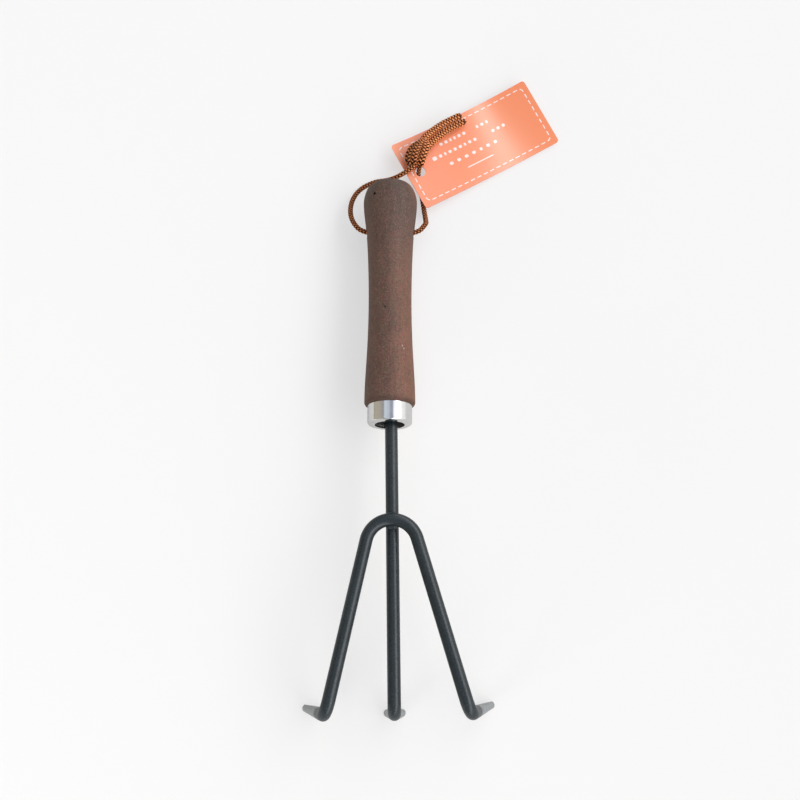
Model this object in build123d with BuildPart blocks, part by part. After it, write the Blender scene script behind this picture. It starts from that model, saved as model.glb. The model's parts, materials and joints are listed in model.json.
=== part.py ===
from build123d import *
import os
from math import cos, pi, radians, sin, tan

# A three-pronged hand cultivator, lying on level ground. Millimetres, +Z up, ground at Z = 0.
# The butt of the handle points to +Y and the tines to -Y. The tool rests on the knob of its
# handle and on the three tips, and the hanging loop with its card tag lies beyond the butt.

# ---------------------------------------------------------------- driving dimensions
# Pose of the whole tool: distances "along" run from the butt towards the tines.
rest_tilt = 4.3                 # degrees that the axis rises towards the tines
handle_axis_x = -4.4            # the iron leans, so the handle stands beside the middle
butt_y = 129.605

# Turned hardwood handle
knob_radius = 13.55
knob_at = 11.1                  # where the knob is thickest, and touches the ground
shoulder_at = 118.4             # the end face that the ferrule butts against
handle_end_radius = 12.25
handle_edge_round = 2.0
spigot_radius = 9.85
spigot_length = 6.4
# Each pair is a distance along the handle and the radius there.
head_curve = [
    (0, 0), (0.3, 5.5), (1.2, 8.6), (2.7, 10.9), (5.5, 12.5), (knob_at, knob_radius),
]
grip_curve = [
    (knob_at, knob_radius), (24.1, 12.35), (40.1, 11.2), (68.1, 10.6), (94.1, 11.35),
    (shoulder_at - handle_edge_round, handle_end_radius),
]
worm_hole_radius = 0.55         # a pinhole in the wood on the upper left of the knob
worm_hole_depth = 3.0
worm_hole_at = 11.0
worm_hole_turn = 35.0           # degrees round from the top

# Cross hole for the hanging cord
cord_hole_at = 28.1
cord_hole_radius = 2.5

# Ferrule: a thin aluminium cup with an in-turned lip
ferrule_radius = 10.7
ferrule_wall = 0.8
ferrule_length = 9.1
ferrule_edge_round = 1.5
lip_hole_radius = 7.15

# Iron: 6 mm rod. The bore for the tang is drilled a little out of true.
rod_radius = 3.0
iron_lean = 0.73                # degrees to the right of the handle's axis
tang_from = 70.1                # inner end of the tang
tang_bore_radius = 3.5
bore_overrun = 2.0              # depth of the bore past the tang's end
bore_step = 1.2                 # the adhesive stops this far inside the spigot's end
tip_bend_radius = 6.5           # of the rod's centre line
tip_bend_at = 258.9
bend_share = 0.999              # a tip's bend ends just short of the root of its blade

# Outer tines: one rod bent to a narrow U, laid over the centre rod
fork_corner_at = 138.2          # where the lines of the two arms would meet
fork_corner_side = -0.47
fork_turn = 2.01                # degrees that the U is skewed to the right
fork_half_angle = 14.6
fork_bend_radius = 12.0         # of the rod's centre line
arm_lengths = {"left": 124.1, "right": 125.9}    # from the corner to the tip's bend
tip_splays = {"left": 13.1, "right": 14.0}       # degrees that the outer tips lean outwards

# Forged tips: each end is hammered wide and thin
tip_width = 10.3
tip_middle_width = 7.75         # half way along the tip
tip_thickness = 3.0
tip_root_thickness = 5.9

# Weld beads in the two crotches of the crossing
bead_radius = 1.6
bead_half_width = 2.5
bead_end_round = 1.2
bead_offset = 2.6               # from the upper rod's centre line

# Braided hanging cord
cord_diameter = 2.5
tail_diameter = 3.0             # the two cut tails are relaxed and thicker
corner_share = 0.45             # share of the shorter run that a corner's arc takes
knot_length = 14.0
knot_diameter = 8.4

# Card tag on the cord, propped up by the strand beneath it
tag_length = 81.0
tag_width = 38.4
tag_thickness = 0.5
tag_corner_radius = 1.6
tag_hole_radius = 2.75
tag_hole_inset = 7.4            # from the hole's centre to the near short edge
tag_hole = Vector(11.2, 140.2, 5.1)
tag_turn = 29.0                 # degrees from +X to the tag's long axis, seen from above
tag_dip = 2.4                   # degrees that the far end is lower
tag_roll = 5.0                  # degrees that the far long edge is raised

# ---------------------------------------------------------------- reference planes
tilt = radians(rest_tilt)
towards_tines = Vector(0, -cos(tilt), sin(tilt))
butt_z = knob_radius * cos(tilt) - knob_at * sin(tilt)

# x is to the right, y is up and z runs along the tool towards the tines.
tool = Plane(origin=(handle_axis_x, butt_y, butt_z), x_dir=(1, 0, 0), z_dir=towards_tines)


def turned_plane(parent, side, up, along, degrees):
    """A plane at a point of its parent, turned to the right about the parent's y."""
    turn = radians(degrees)
    return Plane(
        origin=parent.from_local_coords(Vector(side, up, along)),
        x_dir=parent.x_dir * cos(turn) - parent.z_dir * sin(turn),
        z_dir=parent.z_dir * cos(turn) + parent.x_dir * sin(turn),
    )


iron = turned_plane(tool, 0, 0, tang_from, iron_lean)
fork = turned_plane(tool, fork_corner_side, 2 * rod_radius, fork_corner_at, fork_turn)
turning = Plane(origin=tool.origin, x_dir=tool.z_dir, z_dir=-tool.x_dir)
tool_axis = Axis(tool.origin, tool.z_dir)
hole_centre = tool.from_local_coords(Vector(0, 0, cord_hole_at))


def save(piece, name):
    """Label a finished piece and write it as its own STEP file."""
    piece.part.label = name
    export_step(piece.part, f"parts/{name}.step")


# ---------------------------------------------------------------- handle and ferrule
def make_handle():
    spigot_end = shoulder_at + spigot_length
    edge_centre = (shoulder_at - handle_edge_round, handle_end_radius - handle_edge_round)
    with BuildPart() as handle:
        with BuildSketch(turning):
            with BuildLine():
                Spline(*head_curve, tangents=((0, 1), (1, 0)), tangent_scalars=(1, 1))
                Spline(*grip_curve, tangents=((1, 0), (1, 0)), tangent_scalars=(1, 1))
                CenterArc(edge_centre, handle_edge_round, 90, -90)
                Polyline(
                    (shoulder_at, handle_end_radius - handle_edge_round),
                    (shoulder_at, spigot_radius),
                    (spigot_end, spigot_radius),
                    (spigot_end, 0),
                    (0, 0),
                )
            make_face()
        revolve(axis=tool_axis)
        with BuildSketch(Plane(origin=hole_centre, z_dir=(1, 0, 0))):
            Circle(cord_hole_radius)
        extrude(amount=2 * knob_radius, both=True, mode=Mode.SUBTRACT)
        with BuildSketch(iron.offset(-bore_overrun)):
            Circle(tang_bore_radius)
        extrude(amount=shoulder_at, mode=Mode.SUBTRACT)
        turn = radians(worm_hole_turn)
        outwards = tool.y_dir * cos(turn) - tool.x_dir * sin(turn)
        on_axis = tool.from_local_coords(Vector(0, 0, worm_hole_at))
        with BuildSketch(Plane(origin=on_axis + outwards * knob_radius, z_dir=outwards)):
            Circle(worm_hole_radius)
        extrude(amount=-worm_hole_depth, mode=Mode.SUBTRACT)
    return handle


def make_ferrule():
    end = shoulder_at + ferrule_length
    bore = ferrule_radius - ferrule_wall
    inner_round = ferrule_edge_round - ferrule_wall
    with BuildPart() as ferrule:
        with BuildSketch(turning):
            with BuildLine():
                Polyline(
                    (shoulder_at, bore),
                    (shoulder_at, ferrule_radius),
                    (end - ferrule_edge_round, ferrule_radius),
                )
                CenterArc(
                    (end - ferrule_edge_round, ferrule_radius - ferrule_edge_round),
                    ferrule_edge_round, 90, -90,
                )
                Polyline(
                    (end, ferrule_radius - ferrule_edge_round),
                    (end, lip_hole_radius),
                    (end - ferrule_wall, lip_hole_radius),
                    (end - ferrule_wall, bore - inner_round),
                )
                CenterArc(
                    (end - ferrule_wall - inner_round, bore - inner_round), inner_round, 0, 90
                )
                Line((end - ferrule_wall - inner_round, bore), (shoulder_at, bore))
            make_face()
        revolve(axis=tool_axis)
    return ferrule


# ---------------------------------------------------------------- iron
def make_blade(root, length):
    """A forged tip. The root plane's x is the blade's width and its z points to the end."""
    with BuildPart() as blade:
        with BuildSketch(root):
            Circle(rod_radius)
        with BuildSketch(root.offset(length / 2)):
            Ellipse(tip_middle_width / 2, rod_radius)
        with BuildSketch(root.offset(length)):
            Ellipse(tip_width / 2, rod_radius)
        loft()
        with BuildSketch(Plane(origin=root.origin, x_dir=root.z_dir, z_dir=-root.x_dir)):
            Polygon(
                (0, -tip_root_thickness / 2),
                (length, -tip_thickness / 2),
                (length, tip_thickness / 2),
                (0, tip_root_thickness / 2),
                align=None,
            )
        extrude(amount=tip_width, both=True, mode=Mode.INTERSECT)
    return blade.part


def tip_frame(bend, rod_direction, tip_direction):
    """The root plane and the length of a tip whose lowest corner just meets the ground."""
    width_direction = rod_direction.cross(tip_direction)
    corner_drop = abs(width_direction.Z) * tip_width / 2 + abs(rod_direction.Z) * tip_thickness / 2
    reach = (bend.Z - corner_drop) / -tip_direction.Z
    root = Plane(
        origin=bend + tip_direction * tip_bend_radius, x_dir=width_direction, z_dir=tip_direction
    )
    return root, reach - tip_bend_radius


def make_centre_rod():
    bend = iron.from_local_coords(Vector(0, 0, tip_bend_at - tang_from))
    root, blade_length = tip_frame(bend, iron.z_dir, -iron.y_dir)
    bend_radius = tip_bend_radius * bend_share
    with BuildPart() as rod:
        with BuildLine():
            FilletPolyline(iron.origin, bend, root.origin, radius=[bend_radius])
        with BuildSketch(iron):
            Circle(rod_radius)
        sweep()
        add(make_blade(root, blade_length))
    return rod


def make_outer_rod():
    bends = {}
    roots = {}
    blades = []
    for name, hand in (("left", -1), ("right", 1)):
        arm = turned_plane(fork, 0, 0, 0, hand * fork_half_angle)
        splay = radians(tip_splays[name])
        bends[name] = arm.origin + arm.z_dir * arm_lengths[name]
        tip_direction = arm.x_dir * (hand * sin(splay)) - arm.y_dir * cos(splay)
        root, blade_length = tip_frame(bends[name], arm.z_dir, tip_direction)
        roots[name] = root
        blades.append(make_blade(root, blade_length))
    bend_radius = tip_bend_radius * bend_share
    with BuildPart() as rod:
        with BuildLine():
            FilletPolyline(
                roots["left"].origin, bends["left"], fork.origin, bends["right"],
                roots["right"].origin,
                radius=[bend_radius, fork_bend_radius, bend_radius],
            )
        with BuildSketch(Plane(origin=roots["left"].origin, z_dir=-roots["left"].z_dir)):
            Circle(rod_radius)
        sweep()
        for blade in blades:
            add(blade)
    return rod


def make_weld_bead(centre_rod, outer_rod, towards_tang):
    """The bead in one crotch of the crossing, run along the upper rod and over the lower."""
    apex_at = fork_bend_radius / sin(radians(fork_half_angle)) - fork_bend_radius
    hand = -1 if towards_tang else 1
    middle = turned_plane(fork, 0, -rod_radius, apex_at + hand * bead_offset, 0)
    with BuildPart() as bead:
        with BuildSketch(Plane(origin=middle.origin, x_dir=middle.z_dir, z_dir=-middle.x_dir)):
            Circle(bead_radius)
        extrude(amount=bead_half_width, both=True)
        fillet(bead.edges().filter_by(GeomType.CIRCLE), bead_end_round)
        add(centre_rod.part, mode=Mode.SUBTRACT)
        add(outer_rod.part, mode=Mode.SUBTRACT)
    return bead


def make_adhesive():
    """The sleeve of adhesive round the tang, with the plug below the tang's end."""
    length = shoulder_at + spigot_length - bore_step - tang_from
    with BuildPart() as sleeve:
        with BuildSketch(iron.offset(-bore_overrun)):
            Circle(tang_bore_radius)
        extrude(amount=bore_overrun + length)
        with BuildSketch(iron):
            Circle(rod_radius)
        extrude(amount=length, mode=Mode.SUBTRACT)
    return sleeve


# ---------------------------------------------------------------- hanging loop
def bend_radii(route):
    """One radius for each corner: as large as the two runs beside it allow."""
    radii = []
    for before, corner, after in zip(route, route[1:], route[2:]):
        arriving = corner - before
        leaving = after - corner
        shorter = min(arriving.length, leaving.length)
        half_turn = radians(arriving.get_angle(leaving)) / 2
        radii.append(corner_share * shorter / tan(half_turn))
    return radii


def make_cord(name, route, diameter):
    points = [Vector(*point) for point in route]
    radii = bend_radii(points)
    with BuildPart() as cord:
        with BuildLine():
            path = FilletPolyline(*points, radius=radii)
        with BuildSketch(Plane(origin=path @ 0, z_dir=path % 0)):
            Circle(diameter / 2)
        sweep()
    print(name, "length", round(path.length, 2), "radii", [round(r, 1) for r in radii])
    print(name, "volume over section", round(cord.part.volume * 4 / (pi * diameter**2), 2))
    return cord


hole_point = (hole_centre.X, hole_centre.Y, hole_centre.Z)

# Out of the hole to the left, round under the head of the handle and over the tag's edge
left_route = [
    hole_point, (-17.6, 101.6, 14.8), (-24.4, 110.0, 12.0), (-25.3, 120.6, 7.6),
    (-21.6, 130.4, 3.6), (-13.2, 136.2, 1.5), (-5.2, 137.4, 2.0), (2.3, 138.8, 8.2),
    (7.9, 144.6, 10.4),
]
# Out of the hole to the right, down under the tag and up through the tag's hole
right_route = [
    hole_point, (8.8, 101.6, 14.8), (13.8, 108.8, 11.3), (13.9, 113.6, 3.4),
    (12.9, 121.0, 1.4), (11.9, 131.5, 1.5), (11.5, 137.2, 1.5), (11.2, 140.2, 5.1),
    (11.4, 143.4, 9.4),
]
knot_centre = Vector(9.0, 147.8, 10.6)
knot_axis = Vector(5.5, 9.5, 0.2)
# The two cut ends lie side by side over the tag.
upper_tail_route = [
    (10.6, 151.0, 11.4), (14.4, 158.6, 9.9), (22.6, 165.7, 8.1), (32.5, 171.2, 7.3),
]
lower_tail_route = [
    (12.5, 149.0, 9.7), (18.0, 156.2, 8.4), (26.0, 163.4, 7.4), (34.8, 168.3, 6.9),
]


def make_knot():
    """The body of the overhand knot, as a plain spheroid about its long axis."""
    axis_plane = Plane(origin=knot_centre, x_dir=knot_axis.normalized(), z_dir=(0, 0, 1))
    with BuildPart() as knot:
        with BuildSketch(axis_plane):
            with BuildLine():
                EllipticalCenterArc(
                    (0, 0), knot_length / 2, knot_diameter / 2, start_angle=0, arc_size=180
                )
                Line((-knot_length / 2, 0), (knot_length / 2, 0))
            make_face()
        revolve(axis=Axis(axis_plane.origin, axis_plane.x_dir))
    return knot


def make_tag():
    """A flat card with round corners and a punched hole."""
    turn = radians(tag_turn)
    dip = radians(tag_dip)
    roll = radians(tag_roll)
    along = Vector(cos(turn) * cos(dip), sin(turn) * cos(dip), -sin(dip))
    level_across = Vector(0, 0, 1).cross(along).normalized()
    across = level_across * cos(roll) + along.cross(level_across) * sin(roll)
    card_plane = Plane(origin=tag_hole, x_dir=along, z_dir=along.cross(across))
    middle = tag_length / 2 - tag_hole_inset
    with BuildPart() as tag:
        with BuildSketch(card_plane):
            with Locations((middle, 0)):
                RectangleRounded(tag_length, tag_width, tag_corner_radius)
            Circle(tag_hole_radius, mode=Mode.SUBTRACT)
        extrude(amount=tag_thickness / 2, both=True)
    return tag


# ---------------------------------------------------------------- all pieces
os.makedirs("parts", exist_ok=True)
centre_rod = make_centre_rod()
outer_rod = make_outer_rod()
knot = make_knot()

save(make_handle(), "handle")
save(make_ferrule(), "ferrule")
save(centre_rod, "shank_and_center_tine")
save(outer_rod, "outer_tines")
save(make_weld_bead(centre_rod, outer_rod, True), "weld_bead_shank_side")
save(make_weld_bead(centre_rod, outer_rod, False), "weld_bead_tine_side")
save(make_adhesive(), "tang_adhesive")
save(make_cord("cord_left", left_route, cord_diameter), "cord_left")
save(make_cord("cord_right", right_route, cord_diameter), "cord_right")
save(knot, "cord_knot")
save(make_cord("cord_tail_upper", upper_tail_route, tail_diameter), "cord_tail_upper")
save(make_cord("cord_tail_lower", lower_tail_route, tail_diameter), "cord_tail_lower")
save(make_tag(), "hang_tag")
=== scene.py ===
import json
from math import cos, pi, radians, sin

import bpy
import numpy as np
from mathutils import Matrix, Vector, geometry


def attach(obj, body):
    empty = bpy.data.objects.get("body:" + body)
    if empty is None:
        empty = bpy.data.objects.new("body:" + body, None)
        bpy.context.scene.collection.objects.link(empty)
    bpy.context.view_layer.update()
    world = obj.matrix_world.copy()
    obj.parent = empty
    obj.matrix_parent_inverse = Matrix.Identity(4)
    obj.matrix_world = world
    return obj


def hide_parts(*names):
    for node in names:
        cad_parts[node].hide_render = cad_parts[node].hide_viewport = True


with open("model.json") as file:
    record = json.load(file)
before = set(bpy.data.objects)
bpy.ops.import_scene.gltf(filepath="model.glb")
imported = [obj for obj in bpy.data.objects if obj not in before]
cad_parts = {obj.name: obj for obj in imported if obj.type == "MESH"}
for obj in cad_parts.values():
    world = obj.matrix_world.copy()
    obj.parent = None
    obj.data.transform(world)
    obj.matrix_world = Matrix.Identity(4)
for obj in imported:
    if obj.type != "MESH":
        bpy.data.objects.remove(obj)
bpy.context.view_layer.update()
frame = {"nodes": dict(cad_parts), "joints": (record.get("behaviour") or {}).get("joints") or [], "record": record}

# A hand cultivator with a turned handle, a ferrule, black rod tines, a braided loop and a card
# tag. Metres, +Z up, floor at Z = 0.

MM = 0.001
record = frame["record"]
nodes = frame["nodes"]
mounts = {m["name"]: m for m in record["mounts"]}
joints = {j["name"]: j for j in frame["joints"]}


# ---------------------------------------------------------------- camera
CAMERA_ELEVATION = radians(77.83)
CAMERA_DISTANCE = 0.47876
CAMERA_TARGET = Vector((0.00049, 0.01483, 0.02131))
CAMERA_LENS = 44.92


def make_camera():
    data = bpy.data.cameras.new("camera")
    data.lens = CAMERA_LENS
    data.sensor_width = 36.0
    data.clip_start = 0.01
    data.clip_end = 20.0
    camera = bpy.data.objects.new("camera", data)
    bpy.context.scene.collection.objects.link(camera)
    back = Vector((0, -cos(CAMERA_ELEVATION), sin(CAMERA_ELEVATION)))
    camera.location = CAMERA_TARGET + back * CAMERA_DISTANCE
    camera.rotation_euler = (pi / 2 - CAMERA_ELEVATION, 0, 0)
    bpy.context.scene.camera = camera


# ---------------------------------------------------------------- meshes
def link_mesh(name, points, faces, materials, material_of=None):
    """A new smooth-shaded mesh object; material_of gives the material's number face by face."""
    mesh = bpy.data.meshes.new(name)
    mesh.from_pydata([tuple(p) for p in points], [], faces)
    for material in materials:
        mesh.materials.append(material)
    mesh.polygons.foreach_set("use_smooth", np.ones(len(faces), bool))
    if material_of is not None:
        mesh.polygons.foreach_set("material_index", np.array(material_of, np.int32))
    mesh.update()
    piece = bpy.data.objects.new(name, mesh)
    bpy.context.scene.collection.objects.link(piece)
    return piece


def add_attribute(piece, name, values):
    """One number for each vertex, which a material reads by its name."""
    attribute = piece.data.attributes.new(name, "FLOAT", "POINT")
    attribute.data.foreach_set("value", np.array(values, np.float32))


def smooth_step(value, low, high):
    """0 below low, 1 above high and an S-shaped rise between them."""
    t = np.clip((value - low) / (high - low), 0, 1)
    return t * t * (3 - 2 * t)


# ---------------------------------------------------------------- braided cord
CORD_DIAMETER = 2.5 * MM
BRAID_PITCH = 5.0 * MM          # along the cord for one full turn of a strand
TAIL_HALF_HEIGHT = 1.28 * MM
TAIL_BLEND = 4 * MM             # the cord flattens over this much on each side of a tail's start
DARKENING_FADE = 10 * MM
CUT_SHRINK = 0.16               # how much thinner the cut end is
CUT_TAPER = 1.3 * MM
SEALED_FROM = 1.6 * MM          # distances from the cut end over which its heat seal darkens
SEALED_TO = 0.3 * MM
STRANDS_EACH_WAY = 3
STRAND_SIDES = 8
STRAND_MIDDLE = 0.68            # these five are shares of the cord's radius
STRAND_WAVE = 0.19
STRAND_HALF_WIDTH = 0.34
STRAND_HALF_THICKNESS = 0.20
CORE_RADIUS = 0.42
CORE_SIDES = 10
CROSSING_CONTRAST = 1.2         # above 1, a strand stays on top for longer between crossings
SPLINE_STEPS = 70

# Out of the cross hole, round the head of the handle, through the knot and along the tag. The
# control points are in millimetres.
HOLE_MIDDLE = (-4.4, 101.584, 14.786)
LEFT_ROUTE = [
    HOLE_MIDDLE, (-17.6, 101.6, 14.8), (-24.4, 110.0, 12.0), (-25.3, 120.6, 7.6),
    (-21.6, 130.4, 3.6), (-13.2, 136.2, 1.5), (-5.4, 136.6, 2.4), (1.2, 137.0, 8.0),
    (9.2, 142.0, 9.9), (9.6, 148.4, 11.0), (12.0, 155.4, 10.4), (17.4, 161.7, 8.2),
    (24.2, 167.4, 6.7), (32.5, 171.6, 6.2),
]
RIGHT_ROUTE = [
    HOLE_MIDDLE, (8.8, 101.6, 14.8), (13.8, 108.8, 11.3), (13.9, 113.6, 3.4),
    (12.9, 121.0, 1.5), (11.4, 131.5, 1.5), (9.9, 136.6, 1.5), (10.1, 139.9, 4.8),
    (11.0, 143.0, 9.4), (12.8, 148.4, 9.8), (16.6, 155.0, 8.4), (22.0, 160.6, 6.8),
    (28.4, 165.4, 6.0), (34.8, 168.7, 5.7),
]
# The turns of the knot: a broad one stands upright on the right, and two more are drawn round
# behind it on the left.
KNOT_TURNS = [
    [(14.0, 154.0, 11.6), (14.2, 150.6, 13.6), (12.8, 145.8, 13.9), (11.4, 142.4, 12.4),
     (11.0, 141.8, 9.8), (11.6, 144.4, 7.9), (12.8, 149.6, 7.8), (13.8, 153.6, 9.0)],
    [(13.0, 155.4, 11.0), (11.0, 152.6, 13.6), (8.8, 147.9, 14.4), (7.6, 143.4, 12.8),
     (7.8, 142.2, 10.2), (8.4, 144.8, 7.8), (9.6, 150.2, 7.6), (12.2, 155.0, 8.6)],
    [(11.4, 153.8, 10.8), (8.0, 151.2, 12.8), (5.3, 147.4, 12.9), (4.6, 143.8, 11.4),
     (5.8, 142.4, 9.8), (6.4, 144.4, 8.0), (6.8, 149.0, 7.8), (10.0, 153.6, 8.8)],
]
# Painted shade: the knot's two left turns, which face away from the light, are painted darker.
KNOT_SHADE = [0.0, 0.5, 0.9]
KNOT_HALF_WIDTH = 1.95 * MM
KNOT_HALF_HEIGHT = 1.35 * MM
# Name, route, side, where the darker part ends and the tail starts, the tail's width, and the solids
# that the piece stands for.
CORD_HALVES = [
    (
        "cord_left", LEFT_ROUTE, -1, 60 * MM, 86 * MM, 3.9 * MM,
        ("cord_left", "cord_tail_upper"),
    ),
    (
        "cord_right", RIGHT_ROUTE, 1, 57 * MM, 67 * MM, 3.8 * MM,
        ("cord_right", "cord_tail_lower"),
    ),
]


def spline_points(points, closed=False):
    """The points along a smooth NURBS line with these control points, in metres."""
    curve = bpy.data.curves.new("route", "CURVE")
    curve.dimensions = "3D"
    curve.resolution_u = SPLINE_STEPS
    spline = curve.splines.new("NURBS")
    spline.points.add(len(points) - 1)
    for point, place in zip(spline.points, points):
        point.co = (*(Vector(place) * MM), 1)
    spline.order_u = 3
    spline.use_endpoint_u = not closed
    spline.use_cyclic_u = closed
    route = bpy.data.objects.new("route", curve)
    mesh = bpy.data.meshes.new_from_object(route)
    line = np.array([v.co for v in mesh.vertices], float)
    bpy.data.objects.remove(route)
    bpy.data.curves.remove(curve)
    bpy.data.meshes.remove(mesh)
    return line


def run_length(line):
    """The distance along the line to each of its points."""
    steps = np.linalg.norm(np.diff(line, axis=0), axis=1)
    return np.concatenate([[0], np.cumsum(steps)])


def unit(vectors):
    return vectors / np.maximum(np.linalg.norm(vectors, axis=1), 1e-12)[:, None]


def directions(line, closed):
    """Unit vectors along the line at each of its points."""
    if closed:
        return unit(np.roll(line, -1, axis=0) - np.roll(line, 1, axis=0))
    return unit(np.gradient(line, axis=0))


def cord_axes(line, closed):
    """Unit vectors sideways and upwards at each of the line's points."""
    along = directions(line, closed)
    if closed:
        flat_normal = unit(np.cross(line - line.mean(0), along).sum(0)[None])[0]
        side = unit(flat_normal - (along @ flat_normal)[:, None] * along)
    else:
        side = unit(np.cross(along, (0, 0, 1)))
    return side, np.cross(side, along)


def over_under(crossing):
    """1 where a strand lies over the strand that it crosses, and -1 where it lies under."""
    return np.clip(CROSSING_CONTRAST * np.cos(crossing * pi), -1, 1)


def tube_faces(first, rings, sides, closed):
    """The faces of one tube whose vertices start at first."""
    faces = []
    for i in range(rings if closed else rings - 1):
        here = first + i * sides
        there = first + (i + 1) % rings * sides
        for k in range(sides):
            after = (k + 1) % sides
            faces.append((here + k, here + after, there + after, there + k))
    if not closed:
        faces.append(tuple(reversed(range(first, first + sides))))
        faces.append(tuple(range(first + (rings - 1) * sides, first + rings * sides)))
    return faces


def braid_parts(line, half_width, half_height, closed=False):
    """Vertices, faces and attributes of a braid whose outer half width and half height are
    given at each point of its line."""
    side, up = cord_axes(line, closed)
    s = run_length(line)
    turns = s[-1] / BRAID_PITCH
    if closed:
        turns = max(1, round(turns))
    phase = 2 * pi * turns * s / s[-1]
    mean = (half_width + half_height) / 2
    points, faces, over, ridge, run = [], [], [], [], []
    for hand in (1, -1):
        for k in range(STRANDS_EACH_WAY):
            angle = hand * phase + k * 2 * pi / STRANDS_EACH_WAY
            crossing = phase * 2 * STRANDS_EACH_WAY / (2 * pi)
            above = hand * over_under(crossing)
            share = STRAND_MIDDLE + STRAND_WAVE * above
            outwards = (
                side * (half_width * np.cos(angle))[:, None]
                + up * (half_height * np.sin(angle))[:, None]
            )
            middle = line + outwards * share[:, None]
            forward = directions(middle, closed)
            across = unit(np.cross(forward, unit(outwards)))
            out = np.cross(across, forward)
            ring = np.arange(STRAND_SIDES) * 2 * pi / STRAND_SIDES
            wide = (STRAND_HALF_WIDTH * mean)[:, None] * np.cos(ring)
            thick = (STRAND_HALF_THICKNESS * mean)[:, None] * np.sin(ring)
            tube = (
                middle[:, None]
                + across[:, None] * wide[..., None]
                + out[:, None] * thick[..., None]
            )
            faces += tube_faces(sum(len(p) for p in points), len(line), STRAND_SIDES, closed)
            points.append(tube.reshape(-1, 3))
            over.append(np.repeat(above, STRAND_SIDES))
            ridge.append(np.tile(np.sin(ring), len(line)))
            run.append(np.repeat(s, STRAND_SIDES))
    ring = np.arange(CORE_SIDES) * 2 * pi / CORE_SIDES
    core = line[:, None] + CORE_RADIUS * (
        side[:, None] * (half_width[:, None] * np.cos(ring))[..., None]
        + up[:, None] * (half_height[:, None] * np.sin(ring))[..., None]
    )
    faces += tube_faces(sum(len(p) for p in points), len(line), CORE_SIDES, closed)
    points.append(core.reshape(-1, 3))
    # The core gets the lowest values, so the cord's material paints it in the darkest painted shade.
    over.append(np.full(len(line) * CORE_SIDES, -1.0))
    ridge.append(np.full(len(line) * CORE_SIDES, -1.0))
    run.append(np.repeat(s, CORE_SIDES))
    return (
        np.concatenate(points), faces, np.concatenate(over), np.concatenate(ridge),
        np.concatenate(run),
    )


def make_braid(name, parts, sealed, darkening, material):
    """A braid's mesh from its parts, with how far it is heat-sealed and darkened."""
    points, faces, over, ridge, run = parts
    piece = link_mesh(name, points, faces, [material])
    add_attribute(piece, "over", over)
    add_attribute(piece, "ridge", ridge)
    add_attribute(piece, "run", run)
    add_attribute(piece, "sealed", sealed)
    add_attribute(piece, "darkening", darkening)
    return piece


def make_cord(name, route, darker_until, tail_at, tail_width, material):
    """One half of the hanging cord: darker along its first stretch, and flatter from tail_at on."""
    line = spline_points(route)
    s = run_length(line)
    tail = smooth_step(s, tail_at - TAIL_BLEND, tail_at + TAIL_BLEND)
    squeeze = 1 - CUT_SHRINK * smooth_step(s, s[-1] - CUT_TAPER, s[-1])
    half_width = (CORD_DIAMETER / 2 * (1 - tail) + tail_width / 2 * tail) * squeeze
    half_height = (CORD_DIAMETER / 2 * (1 - tail) + TAIL_HALF_HEIGHT * tail) * squeeze
    parts = braid_parts(line, half_width, half_height)
    run = parts[-1]
    sealed = smooth_step(run, s[-1] - SEALED_FROM, s[-1] - SEALED_TO)
    darkening = 1 - smooth_step(run, darker_until, darker_until + DARKENING_FADE)
    return make_braid(name, parts, sealed, darkening, material), line, s[-1]


def make_knot(material):
    """The turns of the overhand knot, joined into one piece."""
    faces, turns, darkening = [], [], []
    first = 0
    # Each turn is painted darker by its share of painted shade.
    for turn, turn_shade in zip(KNOT_TURNS, KNOT_SHADE):
        line = spline_points(turn, closed=True)
        wide = np.full(len(line), KNOT_HALF_WIDTH)
        high = np.full(len(line), KNOT_HALF_HEIGHT)
        points, turn_faces, *attributes = braid_parts(line, wide, high, closed=True)
        faces += [tuple(v + first for v in face) for face in turn_faces]
        turns.append((points, *attributes))
        darkening.append(np.full(len(points), turn_shade))
        first += len(points)
    points, *attributes = (np.concatenate(x) for x in zip(*turns))
    parts = (points, faces, *attributes)
    return make_braid("knot", parts, np.zeros(first), np.concatenate(darkening), material)


def make_loop(material):
    """The two halves of the cord and their knot."""
    knot = make_knot(material)
    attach(knot, "hang_loop")
    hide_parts("cord_knot")
    for name, route, hand, darker_until, tail_at, width, solids in CORD_HALVES:
        piece, line, length = make_cord(
            f"{name}_braid", route, darker_until, tail_at, width, material
        )
        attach(piece, "hang_loop")
        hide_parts(*solids)


# ---------------------------------------------------------------- card tag
# Sizes in millimetres, measured on the flat card from the middle of its hole.
TAG_LENGTH = 81.0
TAG_WIDTH = 38.4
TAG_THICKNESS = 0.5
TAG_CORNER = 1.6
TAG_HOLE_RADIUS = 2.75
TAG_HOLE_INSET = 7.4
TAG_TURN = radians(29.0)
TAG_SAG = 2.8                   # the card curls up: it is lower in the middle of its length
TAG_SAG_TWIST = 0.8             # more so at its far long edge
TAG_LIFT = 0.9                  # rise of its two short edges over the plain flat card
BORDER_INSET = 3.0
BORDER_CORNER = 2.2
BORDER_DASHES = 54
DASH_SHARE = 0.62
DASH_HALF_WIDTH = 0.27
DASH_POINTS = 6
HOLE_SIDES = 36
GRID_STEP = 3.0
INSIDE_ONLY = 1                 # the triangulation keeps only what lies inside an outline
MERGE_BELOW = 1e-4
MARK_ROUNDING = 0.35            # the marks' corner radius, as a share of their shorter side
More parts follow.
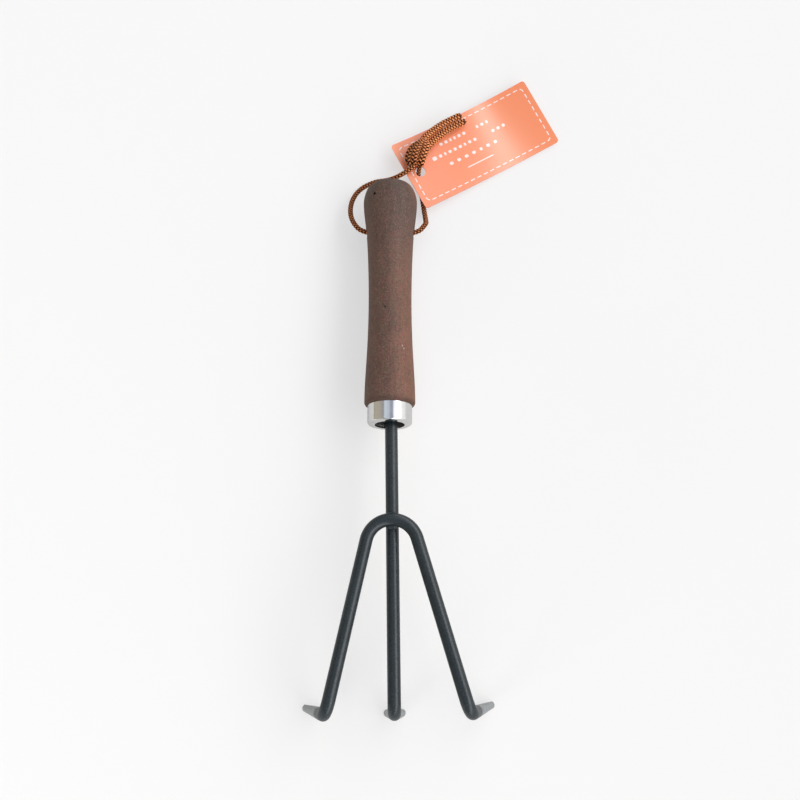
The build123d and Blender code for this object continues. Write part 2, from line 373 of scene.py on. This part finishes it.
# Rows of plain printed marks: (start, across, gap, [(length, height)]).
PRINTED_ROWS = [
    (16.7, 8.8, 1.30, [(1.7, 1.7), (1.7, 1.7), (1.2, 1.7), (1.2, 1.7), (1.7, 1.7), (1.6, 1.7)]),
    (39.0, 8.8, 1.45, [(1.2, 1.7), (1.7, 1.7), (1.2, 1.7)]),
    (9.2, 3.1, 1.45, [
        (2.5, 2.2), (1.7, 1.7), (1.2, 1.7), (1.7, 1.7), (1.7, 1.7), (1.7, 1.7), (1.2, 1.7),
        (1.7, 1.7), (1.7, 1.7),
    ]),
    (45.1, 2.9, 1.45, [(1.7, 1.7), (1.7, 1.7), (1.7, 1.7)]),
    (16.3, -3.1, 2.55, [
        (2.0, 1.7), (2.0, 1.7), (2.0, 1.7), (2.0, 1.7), (1.5, 1.7), (2.0, 1.7), (1.8, 1.7),
    ]),
    (24.0, -9.0, 1.0, [(15.5, 0.6)]),
]


def rounded_outline(low, high, radius, step=2.5, segments=8):
    """The points of a rectangle with round corners, counter-clockwise."""
    (x0, y0), (x1, y1) = low, high
    centres = [
        (x1 - radius, y0 + radius, -90), (x1 - radius, y1 - radius, 0),
        (x0 + radius, y1 - radius, 90), (x0 + radius, y0 + radius, 180),
    ]
    corners = []
    for x, y, start in centres:
        turns = [radians(start + 90 * i / segments) for i in range(segments + 1)]
        corners.append([Vector((x + radius * cos(t), y + radius * sin(t))) for t in turns])
    outline = []
    for corner, following in zip(corners, corners[1:] + corners[:1]):
        outline += corner
        run = following[0] - corner[-1]
        count = max(1, round(run.length / step))
        outline += [corner[-1] + run * i / count for i in range(1, count)]
    return outline


def border_dashes():
    """The outlines of the dashes of the printed border."""
    low = (-TAG_HOLE_INSET + BORDER_INSET, -TAG_WIDTH / 2 + BORDER_INSET)
    high = (TAG_LENGTH - TAG_HOLE_INSET - BORDER_INSET, TAG_WIDTH / 2 - BORDER_INSET)
    line = np.array(rounded_outline(low, high, BORDER_CORNER, step=0.5, segments=16))
    line = np.vstack([line, line[:1]])
    s = run_length(line)
    period = s[-1] / BORDER_DASHES
    dashes = []
    for i in range(BORDER_DASHES):
        at = i * period + np.linspace(0, DASH_SHARE * period, DASH_POINTS)
        middle = np.stack([np.interp(at, s, line[:, k]) for k in (0, 1)], axis=1)
        along = unit(np.gradient(middle, axis=0))
        across = np.stack([-along[:, 1], along[:, 0]], axis=1) * DASH_HALF_WIDTH
        dashes.append(np.vstack([middle - across, (middle + across)[::-1]]))
    return dashes


def printed_marks():
    """The outlines of the printed marks."""
    marks = []
    for start, across, gap, sizes in PRINTED_ROWS:
        x = start
        for length, height in sizes:
            low, high = (x, across - height / 2), (x + length, across + height / 2)
            radius = MARK_ROUNDING * min(height, length)
            marks.append(np.array(rounded_outline(low, high, radius, step=5.0, segments=3)))
            x += length + gap
    return marks


def card_triangles():
    """The card's flat points and triangles, and whether each triangle is printed."""
    low = (-TAG_HOLE_INSET, -TAG_WIDTH / 2)
    high = (TAG_LENGTH - TAG_HOLE_INSET, TAG_WIDTH / 2)
    turns = np.arange(HOLE_SIDES) * 2 * pi / HOLE_SIDES
    hole = np.stack([np.cos(turns), np.sin(turns)], axis=1) * TAG_HOLE_RADIUS
    loops = [np.array(rounded_outline(low, high, TAG_CORNER)), hole]
    loops += border_dashes() + printed_marks()
    points, faces = [], []
    for loop in loops:
        faces.append(list(range(len(points), len(points) + len(loop))))
        points += [Vector(p) for p in loop]
    for x in np.arange(low[0] + GRID_STEP / 2, high[0], GRID_STEP):
        for y in np.arange(low[1] + GRID_STEP / 2, high[1], GRID_STEP):
            points.append(Vector((x, y)))
    found = geometry.delaunay_2d_cdt(points, [], faces, INSIDE_ONLY, MERGE_BELOW)
    flat, _, triangles, _, _, owners = found
    # Outline 0 is the card, 1 is its hole and all after them are printed.
    kept = [i for i, o in enumerate(owners) if 0 in o and 1 not in o]
    printed = [max(owners[i]) > 1 for i in kept]
    return np.array(flat), [list(triangles[i]) for i in kept], printed


def card_place():
    """The tag's hole and its directions along, across and out of the card."""
    hinge = joints["tag_swing"]
    normal = Vector(hinge["axis"]).normalized()
    along = Vector((cos(TAG_TURN), sin(TAG_TURN), 0))
    along = (along - normal * along.dot(normal)).normalized()
    return Vector(hinge["pos_m"]), along, normal.cross(along), normal


def make_tag(card, ink):
    """The curled card, its printed faces in ink, with a rim between its front and back."""
    flat, triangles, printed = card_triangles()
    middle = TAG_LENGTH / 2 - TAG_HOLE_INSET
    share = (flat[:, 0] - middle) / (TAG_LENGTH / 2)
    depth = TAG_SAG + TAG_SAG_TWIST * flat[:, 1] / (TAG_WIDTH / 2)
    sag = TAG_LIFT + depth * (share**2 - 1)
    hole, along, across, normal = (np.array(v) for v in card_place())
    centre = hole + MM * (
        flat[:, :1] * along + flat[:, 1:] * across + sag[:, None] * normal
    )
    half = normal * TAG_THICKNESS / 2 * MM
    count = len(flat)
    top, bottom = centre + half, centre - half
    edges = {(a, b) for t in triangles for a, b in zip(t, t[1:] + t[:1])}
    rim = [(b, a) for a, b in edges if (b, a) not in edges]
    rim_points = sorted({v for edge in rim for v in edge})
    place = {v: i for i, v in enumerate(rim_points)}
    above, below = 2 * count, 2 * count + len(rim_points)
    points = np.vstack([top, bottom, top[rim_points], bottom[rim_points]])
    faces = [tuple(t) for t in triangles]
    faces += [tuple(v + count for v in reversed(t)) for t in triangles]
    faces += [
        (above + place[a], above + place[b], below + place[b], below + place[a]) for a, b in rim
    ]
    ink_of = [int(p) for p in printed] + [0] * (len(triangles) + len(rim))
    tag = link_mesh("tag_card", points, faces, [card, ink], ink_of)
    local = np.vstack([flat, flat, flat[rim_points], flat[rim_points]]) * MM
    add_attribute(tag, "card_x", local[:, 0])
    add_attribute(tag, "card_y", local[:, 1])
    edge_of = np.zeros(len(points))
    edge_of[above:] = 1
    add_attribute(tag, "edge", edge_of)
    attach(tag, "tag")
    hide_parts("hang_tag")


# ---------------------------------------------------------------- material helpers
SPOT_SOFTNESS = 0.25


class Graph:
    """A material's node tree with one Principled shader."""

    def __init__(self, name):
        self.material = bpy.data.materials.new(name)
        self.material.use_nodes = True
        self.tree = self.material.node_tree
        self.shader = self.tree.nodes["Principled BSDF"]

    def node(self, kind, values=(), **settings):
        """A new node with these input values or links and these properties."""
        made = self.tree.nodes.new(kind)
        for key, value in settings.items():
            setattr(made, key, value)
        self.fill(made, dict(values))
        return made

    def fill(self, node, values):
        for key, value in values.items():
            if isinstance(value, bpy.types.NodeSocket):
                self.tree.links.new(value, node.inputs[key])
            else:
                node.inputs[key].default_value = value

    def surface(self, **values):
        """Fill in the shader's inputs; an underscore stands for a space in an input's name."""
        self.fill(self.shader, {k.replace("_", " "): v for k, v in values.items()})

    def maths(self, operation, a, b, c=0.0):
        values = {0: a, 1: b, 2: c}
        return self.node("ShaderNodeMath", values, operation=operation).outputs[0]

    def attribute(self, name):
        return self.node("ShaderNodeAttribute", attribute_name=name).outputs["Fac"]

    def object_place(self):
        return self.node("ShaderNodeTexCoord").outputs["Object"]

    def mapped(self, vector, scale=(1, 1, 1), turn=(0, 0, 0), shift=(0, 0, 0)):
        values = {"Vector": vector, "Location": shift, "Rotation": turn, "Scale": scale}
        return self.node("ShaderNodeMapping", values).outputs[0]

    def noise(self, vector, scale, detail, roughness, distortion=0.0):
        values = {
            "Vector": vector, "Scale": scale, "Detail": detail, "Roughness": roughness,
            "Distortion": distortion,
        }
        return self.node("ShaderNodeTexNoise", values).outputs["Fac"]

    def spot(self, vector, centre, size):
        """1 inside a small ellipsoid and 0 outside it, with a soft edge."""
        shift = tuple(-c / d for c, d in zip(centre, size))
        inside = self.mapped(vector, tuple(1 / d for d in size), shift=shift)
        distance = self.node("ShaderNodeVectorMath", {0: inside}, operation="LENGTH")
        return self.step(distance.outputs["Value"], 1 + SPOT_SOFTNESS, 1 - SPOT_SOFTNESS)

    def step(self, value, low, high, to_low=0.0, to_high=1.0):
        """A smooth step from to_low at low to to_high at high; low may be the larger one."""
        values = {"Value": value, 1: low, 2: high, 3: to_low, 4: to_high}
        made = self.node("ShaderNodeMapRange", values, interpolation_type="SMOOTHSTEP")
        return made.outputs[0]

    def ramp(self, value, stops):
        made = self.node("ShaderNodeValToRGB", {"Fac": value})
        elements = made.color_ramp.elements
        while len(elements) < len(stops):
            elements.new(0.5)
        for element, (place, colour) in zip(elements, stops):
            element.position = place
            element.color = (*colour, 1)
        return made.outputs["Color"]

    def mix(self, share, a, b, blend="MIX"):
        """Colour a, or b where share is 1."""
        made = self.node("ShaderNodeMix", data_type="RGBA", blend_type=blend)
        colour_a, colour_b = (
            x if isinstance(x, bpy.types.NodeSocket) else (*x, 1) for x in (a, b)
        )
        self.fill(made, {0: share, 6: colour_a, 7: colour_b})
        return made.outputs[2]

    def bump(self, height, distance, strength):
        values = {"Height": height, "Distance": distance, "Strength": strength}
        return self.node("ShaderNodeBump", values).outputs[0]


# ---------------------------------------------------------------- materials
def handle_place(graph):
    """Object coordinates with their Z along the handle, from the middle of its grip."""
    grip = mounts["hand_grip"]
    axis = Vector(grip["axis"])
    turn = Vector((0, 0, 1)).rotation_difference(axis).inverted().to_matrix()
    shift = -(turn @ Vector(grip["pos_m"]))
    return graph.mapped(graph.object_place(), turn=turn.to_euler(), shift=shift)


# Small marks on the handle: the centre and the half sizes of each, in metres.
WORM_HOLE = (-0.01205, 0.11945, 0.02435), (0.0008, 0.0008, 0.0008)
KNOT_FLECK = (-0.0067, 0.0595, 0.0285), (0.0004, 0.0006, 0.003)
NICKS = [
    ((0.0016, 0.0398, 0.0298), (0.00028, 0.0006, 0.003)),
    ((0.0024, 0.0385, 0.0298), (0.00028, 0.0005, 0.003)),
]
# Distances along the handle from the middle of its grip; the butt is on the positive side.
HEAD_FROM = 0.030
SHOULDER = -0.0601
CUP_INSIDE = -0.0612
# Towards the ferrule, on the right of the handle's axis, the wood is redder and lighter: a redder stain, with
# painted light on that side.
REDDER_ALONG = (0.035, -0.02)
PAINTED_LIGHT_ACROSS = (-0.002, 0.005)


def stained_wood():
    g = Graph("stained_wood")
    place = handle_place(g)
    world_place = g.object_place()
    parts = g.node("ShaderNodeSeparateXYZ", {0: place})
    streaks = g.noise(g.mapped(place, (1, 1, 0.05)), 1500, 4, 0.6, 0.4)
    cloud = g.noise(g.mapped(place, (1, 1, 0.5)), 90, 4, 0.65, 0.6)
    speck = g.noise(place, 1250, 3, 0.8)
    fleck = g.noise(g.mapped(place, (1, 1, 0.6)), 480, 3, 0.7)
    pores = g.noise(g.mapped(place, (1, 1, 0.10)), 3600, 2, 0.5)
    wander = g.maths("MULTIPLY_ADD", cloud, 0.03, -0.015)
    along = g.maths("ADD", parts.outputs["Z"], wander)
    right = g.maths("ADD", parts.outputs["X"], g.maths("MULTIPLY", wander, 0.4))
    head = g.step(along, HEAD_FROM - 0.015, HEAD_FROM + 0.02)
    # Painted light: the redder stain towards the ferrule is also painted lighter on the right of the axis.
    redder_and_painted_light = g.maths("MULTIPLY", g.step(along, *REDDER_ALONG), g.step(right, *PAINTED_LIGHT_ACROSS))
    stain = g.maths("ADD", g.maths("MULTIPLY", cloud, 0.6), g.maths("MULTIPLY", fleck, 0.4))
    grey = g.ramp(stain, [
        (0.36, (0.078, 0.052, 0.042)), (0.50, (0.100, 0.062, 0.050)),
        (0.64, (0.122, 0.072, 0.055)),
    ])
    cool = g.ramp(stain, [
        (0.36, (0.105, 0.062, 0.048)), (0.50, (0.132, 0.074, 0.056)),
        (0.64, (0.160, 0.086, 0.063)),
    ])
    # A lighter, redder copy of the wood's colour: redder stain and painted light.
    warm_and_painted_light = g.ramp(stain, [
        (0.36, (0.150, 0.074, 0.052)), (0.50, (0.188, 0.088, 0.060)),
        (0.64, (0.230, 0.108, 0.072)),
    ])
    hue = g.noise(g.mapped(place, (1, 1, 0.6), shift=(0.3, 0.1, 0.2)), 650, 3, 0.75)
    mottle = g.ramp(hue, [(0.42, (1.11, 0.94, 0.98)), (0.58, (0.92, 1.06, 0.94))])
    base = g.mix(1.0, g.mix(head, g.mix(redder_and_painted_light, cool, warm_and_painted_light), grey), mottle, "MULTIPLY")
    grained = g.mix(g.step(streaks, 0.42, 0.66, 0.0, 0.14), base, (0.070, 0.042, 0.034))
    light = g.mix(g.step(speck, 0.52, 0.66, 0.0, 0.40), grained, (0.30, 0.185, 0.145))
    dark = g.mix(g.step(speck, 0.48, 0.34, 0.0, 0.55), light, (0.045, 0.025, 0.020))
    pore = g.step(pores, 0.60, 0.70)
    worn = g.mix(g.maths("MULTIPLY", pore, 0.30), dark, (0.030, 0.018, 0.014))
    for centre, size in NICKS:
        nick = g.spot(world_place, centre, size)
        worn = g.mix(g.maths("MULTIPLY", nick, 0.75), worn, (0.42, 0.32, 0.27))
    # Painted shade: the worm hole is painted near black inside; the knot fleck is the wood's own darker knot.
    hole_shade_and_knot = g.maths(
        "ADD", g.spot(world_place, *WORM_HOLE),
        g.maths("MULTIPLY", g.spot(world_place, *KNOT_FLECK), 0.7),
    )
    # Painted shade: the wood is darkened over the last few millimetres before the ferrule's shoulder.
    rim = g.step(parts.outputs["Z"], SHOULDER + 0.0030, SHOULDER + 0.0005, 0.0, 0.40)
    # Painted shade: the wood inside the ferrule's cup is painted near black.
    cup_shade = g.step(parts.outputs["Z"], CUP_INSIDE + 0.0006, CUP_INSIDE)
    # Painted shade at the shoulder, in the cup and in the worm hole, together with the knot fleck.
    painted_shade_and_knot = g.maths("MAXIMUM", g.maths("MAXIMUM", hole_shade_and_knot, rim), cup_shade)
    g.surface(
        Base_Color=g.mix(painted_shade_and_knot, worn, (0.008, 0.006, 0.005)),
        Roughness=g.step(speck, 0.3, 0.7, 0.50, 0.62),
        Specular_IOR_Level=0.33,
        Normal=g.bump(
            g.maths("SUBTRACT", g.maths("MULTIPLY_ADD", streaks, 0.5, speck), pore), 0.00006, 0.7
        ),
    )
    return g.material


def polished_aluminium():
    g = Graph("polished_aluminium")
    place = handle_place(g)
    rings = g.noise(g.mapped(place, (0.02, 0.02, 1)), 5200, 3, 0.6)
    smear = g.noise(place, 260, 3, 0.6, 0.8)
    scratch = g.noise(g.mapped(place, (1, 0.06, 1)), 2600, 2, 0.5)
    g.surface(
        Base_Color=g.ramp(smear, [(0.3, (0.86, 0.87, 0.87)), (0.7, (0.93, 0.93, 0.92))]),
        Metallic=1.0,
        Roughness=g.step(smear, 0.35, 0.7, 0.05, 0.11),
        Normal=g.bump(
            g.maths("ADD", rings, g.step(scratch, 0.66, 0.72, 0.0, 0.7)), 0.000012, 0.35
        ),
    )
    return g.material


BLADE_TOP = 0.0265              # the worn blades lie below this height and beyond this Y
BLADE_Y = -0.112


def black_paint():
    g = Graph("black_paint")
    place = g.object_place()
    parts = g.node("ShaderNodeSeparateXYZ", {0: place})
    peel = g.noise(place, 1300, 3, 0.7)
    dust = g.noise(place, 1700, 3, 0.75)
    cloud = g.noise(place, 160, 3, 0.6, 0.5)
    ragged = g.maths("MULTIPLY_ADD", g.noise(place, 700, 3, 0.6), 0.006, -0.003)
    height = g.maths("ADD", parts.outputs["Z"], ragged)
    low = g.step(height, BLADE_TOP + 0.0015, BLADE_TOP - 0.002)
    worn = g.maths("MULTIPLY", low, g.step(parts.outputs["Y"], BLADE_Y, BLADE_Y - 0.004))
    paint = g.ramp(cloud, [(0.3, (0.008, 0.015, 0.019)), (0.7, (0.015, 0.025, 0.030))])
    pitted = g.mix(g.step(dust, 0.46, 0.34, 0.0, 0.7), paint, (0.004, 0.005, 0.006))
    dusty = g.mix(g.step(dust, 0.58, 0.70, 0.0, 0.28), pitted, (0.15, 0.17, 0.18))
    drawn = g.noise(g.mapped(place, (1, 1, 0.12)), 2400, 3, 0.6)
    steel = g.ramp(drawn, [(0.35, (0.24, 0.255, 0.26)), (0.65, (0.46, 0.48, 0.48))])
    g.surface(
        Base_Color=g.mix(worn, dusty, steel),
        Metallic=g.maths("MULTIPLY", worn, 0.55),
        Roughness=g.maths(
            "ADD", g.step(peel, 0.3, 0.7, 0.24, 0.40), g.maths("MULTIPLY", worn, 0.1)
        ),
        Specular_IOR_Level=0.6,
        Normal=g.bump(
            g.maths("ADD", peel, g.maths("MULTIPLY", drawn, worn)), 0.00005, 0.6
        ),
    )
    return g.material


def hard_adhesive():
    g = Graph("hard_adhesive")
    place = g.object_place()
    cloud = g.noise(place, 420, 3, 0.6, 0.5)
    g.surface(
        Base_Color=g.ramp(cloud, [(0.3, (0.30, 0.24, 0.12)), (0.7, (0.55, 0.46, 0.26))]),
        Roughness=g.step(cloud, 0.3, 0.7, 0.25, 0.5),
        Normal=g.bump(cloud, 0.0003, 0.6),
    )
    return g.material


DARKENING = 0.45                  # how much darker the loop is than its tails; the knot's left turns use it as painted shade


def braided_cord():
    g = Graph("braided_cord")
    over, ridge, run, sealed = (g.attribute(n) for n in ("over", "ridge", "run", "sealed"))
    fibre = g.noise(g.object_place(), 5200, 2, 0.6)
    worn = g.noise(g.node("ShaderNodeCombineXYZ", {0: run}).outputs[0], 420, 2, 0.5)
    # Painted highlight on each strand's raised middle where it lies over a crossing, and painted shade in the
    # gaps, under crossings and on the core.
    painted_highlight = g.maths("MULTIPLY", g.step(over, -0.7, 0.9), g.step(ridge, -0.1, 1.0, 0.25, 1.0))
    mixed = g.maths("MULTIPLY_ADD", fibre, 0.22, g.maths("MULTIPLY", painted_highlight, 0.80))
    base = g.ramp(mixed, [
        (0.17, (0.005, 0.001, 0.0002)), (0.43, (0.090, 0.017, 0.002)),
        (0.68, (0.320, 0.070, 0.011)), (0.92, (1.000, 0.390, 0.165)),
    ])
    shaded = g.mix(g.step(worn, 0.4, 0.7, 0.0, 0.25), base, (0.15, 0.040, 0.008))
    # Darker along the loop's first stretch; on the knot's left turns the same darkening is painted shade.
    darkening = g.maths("MULTIPLY", g.attribute("darkening"), DARKENING)
    darkened = g.mix(darkening, shaded, (0.060, 0.020, 0.008))
    burnt = g.mix(g.maths("MULTIPLY", sealed, 0.8), darkened, (0.035, 0.016, 0.008))
    g.surface(
        Base_Color=burnt,
        Roughness=g.step(fibre, 0.3, 0.7, 0.45, 0.62),
        Specular_IOR_Level=0.14,
        Sheen_Weight=0.02,
        Sheen_Roughness=0.4,
        Sheen_Tint=(1.0, 0.7, 0.45, 1.0),
        Normal=g.bump(fibre, 0.00008, 0.6),
    )
    return g.material


CARD_NEAR = (0.97, 0.315, 0.165)
CARD_FAR = (0.97, 0.280, 0.115)
CARD_RIM = (0.80, 0.18, 0.08)
CARD_INK = (0.95, 0.85, 0.80)


def coated_card(name, near, far, rim):
    """Coated card, or the ink printed on it: its colour near the hole, at the far end and on
    the cut edge."""
    g = Graph(name)
    x, y, edge = (g.attribute(n) for n in ("card_x", "card_y", "edge"))
    place = g.node("ShaderNodeCombineXYZ", {0: x, 1: y}).outputs[0]
    fibre = g.noise(place, 2600, 3, 0.6)
    cloud = g.noise(place, 70, 3, 0.6)
    wave = g.noise(place, 60, 1, 0.4)
    along = g.maths("MULTIPLY_ADD", cloud, 0.02, g.maths("ADD", x, -0.01))
    face = g.mix(g.step(along, 0.0, 0.05), near, far)
    flecked = g.mix(g.step(fibre, 0.56, 0.7, 0.0, 0.10), face, (1.0, 0.55, 0.36))
    g.surface(
        Base_Color=g.mix(edge, flecked, rim),
        Roughness=g.step(fibre, 0.3, 0.7, 0.42, 0.52),
        Coat_Weight=0.8,
        Coat_Roughness=0.13,
        Normal=g.bump(g.maths("MULTIPLY_ADD", fibre, 0.03, wave), 0.0001, 0.2),
    )
    return g.material


# ---------------------------------------------------------------- studio
FLOOR_HALF = 4.0
FLOOR_HEIGHT = -0.0003          # just under the object, so that nothing sinks into it
FLOOR_COLOUR = (0.42, 0.41, 0.40)
FLOOR_GLOW = 0.515              # the table is a light box, as under a cut-out product photo
FLOOR_UNDERLIGHT = 0.20         # the part of its glow that falls on the object
BACKGROUND = (0.93, 0.93, 0.93)
# The sky's colour by its angle from straight up, in degrees to the right, in the X-Z plane.
SKY = [
    (-90, (0.34, 0.32, 0.23)), (-80, (0.43, 0.39, 0.31)), (-55, (0.40, 0.37, 0.31)),
    (-32, (0.31, 0.31, 0.32)), (-26, (0.59, 0.65, 0.73)), (-3, (0.50, 0.53, 0.60)),
    (7, (0.32, 0.34, 0.42)), (16, (0.32, 0.34, 0.42)), (20, (0.83, 0.84, 0.92)),
    (30, (1.15, 1.15, 1.15)), (36, (3.20, 3.20, 3.20)), (54, (3.20, 3.20, 3.20)),
    (62, (1.00, 1.00, 0.98)), (90, (0.81, 0.81, 0.78)),
]
# Place, what it faces, the direction of its long side, its two sides, its radiance, and whether
# glossy surfaces mirror it: one makes the band of gloss on the card, and one lights the
# handle's left side.
AREA_LIGHTS = {
    "card_band": (
        (0.220, 0.614, 1.117), (0.0516, 0.1607, 0.002), (0.865, -0.502, 0),
        (0.045, 0.20), 15.5, True,
    ),
    "low_fill": (
        (-0.62, -0.70, 0.15), (-0.010, 0.060, 0.020), (0.78, -0.63, 0),
        (0.24, 0.40), 12.5, False,
    ),
}


def make_floor():
    g = Graph("floor")
    seen = g.node("ShaderNodeLightPath").outputs["Is Camera Ray"]
    glow = g.maths("MULTIPLY_ADD", seen, FLOOR_GLOW - FLOOR_UNDERLIGHT, FLOOR_UNDERLIGHT)
    g.surface(
        Base_Color=(*FLOOR_COLOUR, 1),
        Roughness=0.8,
        Specular_IOR_Level=0.1,
        Emission_Color=(1, 1, 1, 1),
        Emission_Strength=glow,
    )
    h = FLOOR_HALF
    corners = [(-h, -h, 0), (h, -h, 0), (h, h, 0), (-h, h, 0)]
    floor = link_mesh("floor", corners, [(0, 1, 2, 3)], [g.material])
    floor.location.z = FLOOR_HEIGHT


def make_world():
    """A sky that lights the object with SKY and is seen as a plain background."""
    world = bpy.data.worlds.new("studio")
    bpy.context.scene.world = world
    world.use_nodes = True
    tree = world.node_tree
    tree.nodes.clear()

    def node(kind, **settings):
        made = tree.nodes.new(kind)
        for key, value in settings.items():
            setattr(made, key, value)
        return made

    place = node("ShaderNodeTexCoord")
    parts = node("ShaderNodeSeparateXYZ")
    angle = node("ShaderNodeMath", operation="ARCTAN2")
    share = node("ShaderNodeMapRange")
    ramp = node("ShaderNodeValToRGB")
    light = node("ShaderNodeBackground")
    plain = node("ShaderNodeBackground")
    path = node("ShaderNodeLightPath")
    mixed = node("ShaderNodeMixShader")
    output = node("ShaderNodeOutputWorld")
    share.inputs[1].default_value = -pi / 2
    share.inputs[2].default_value = pi / 2
    elements = ramp.color_ramp.elements
    while len(elements) < len(SKY):
        elements.new(0.5)
    for element, (degree, colour) in zip(elements, SKY):
        element.position = (degree + 90) / 180
        element.color = (*colour, 1)
    plain.inputs["Color"].default_value = (*BACKGROUND, 1)
    for source, target in (
        (place.outputs["Generated"], parts.inputs[0]),
        (parts.outputs["X"], angle.inputs[0]),
        (parts.outputs["Z"], angle.inputs[1]),
        (angle.outputs[0], share.inputs["Value"]),
        (share.outputs[0], ramp.inputs["Fac"]),
        (ramp.outputs["Color"], light.inputs["Color"]),
        (path.outputs["Is Camera Ray"], mixed.inputs[0]),
        (light.outputs[0], mixed.inputs[1]),
        (plain.outputs[0], mixed.inputs[2]),
        (mixed.outputs[0], output.inputs["Surface"]),
    ):
        tree.links.new(source, target)


def add_area_light(name, place, target, lengthways, size, radiance, mirrored):
    data = bpy.data.lights.new(name, "AREA")
    data.shape = "RECTANGLE"
    data.size, data.size_y = size
    data.energy = radiance * pi * size[0] * size[1]
    lamp = bpy.data.objects.new(name, data)
    bpy.context.scene.collection.objects.link(lamp)
    back = (Vector(place) - Vector(target)).normalized()
    side = Vector(lengthways).cross(back).normalized()
    lamp.location = place
    lamp.rotation_euler = Matrix((side, back.cross(side), back)).transposed().to_euler()
    lamp.visible_camera = False
    lamp.visible_glossy = mirrored


# ---------------------------------------------------------------- the scene
bpy.context.scene.view_settings.view_transform = "Standard"
make_camera()
cord_material = braided_cord()
make_loop(cord_material)
make_tag(
    coated_card("card_stock", CARD_NEAR, CARD_FAR, CARD_RIM),
    coated_card("card_ink", CARD_INK, CARD_INK, CARD_INK),
)
paint = black_paint()
finishes = {
    "handle": stained_wood(), "ferrule": polished_aluminium(), "tang_adhesive": hard_adhesive(),
    "shank_and_center_tine": paint, "outer_tines": paint, "weld_bead_shank_side": paint,
    "weld_bead_tine_side": paint,
}
for node_name, finish in finishes.items():
    for material_slot in nodes[node_name].material_slots:
        material_slot.material = finish
make_floor()
make_world()
for light_name, light_settings in AREA_LIGHTS.items():
    add_area_light(light_name, *light_settings)
